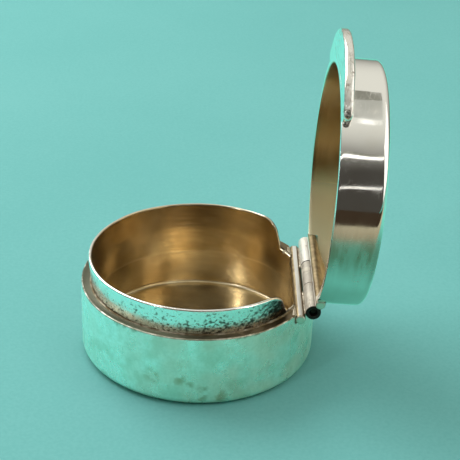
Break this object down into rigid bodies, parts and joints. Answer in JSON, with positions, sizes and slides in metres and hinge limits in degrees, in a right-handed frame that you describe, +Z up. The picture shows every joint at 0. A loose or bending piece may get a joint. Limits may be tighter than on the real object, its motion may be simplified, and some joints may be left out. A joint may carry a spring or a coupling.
{
  "type": "pill box",
  "caption": "Round silver pill box, open: a drum-shaped cup with a raised collar and a shallow hinged lid with a crescent thumb tab.",
  "frame": {"origin": "centre of the flat underside of the body, which is the face it rests on", "axes": "+Z up, +X from the centre towards the hinge, +Y along the hinge towards its rear end"},
  "size_m": [0.0413, 0.0344, 0.0487],
  "materials": {
    "satin_silver": "worn satin silver with fine scratches and faint stains",
    "polished_silver": "polished silver with light handling marks",
    "gilt_silver": "old gilding on silver, satin, browned by tarnish",
    "grey_silver": "dull silver, darkened by tarnish and solder"
  },
  "bodies": {
    "body": {"body_cup": "satin_silver", "bezel_liner": "gilt_silver", "body_hinge_plate": "grey_silver", "body_hinge_bearer": "polished_silver", "front_body_knuckle": "satin_silver", "rear_body_knuckle": "satin_silver", "hinge_pin": "grey_silver"},
    "lid": {"lid_shell": "polished_silver", "lid_hinge_plate": "gilt_silver", "lid_hinge_bearer": "polished_silver", "lid_knuckle": "satin_silver", "thumb_tab": "polished_silver"}
  },
  "joints": [
    {"name": "lid_hinge", "type": "hinge", "parent": "body", "child": "lid", "pos_m": [0.01615, 0, 0.01105], "axis": [0, -1, 0], "range_deg": [0, 92.9]}
  ]
}
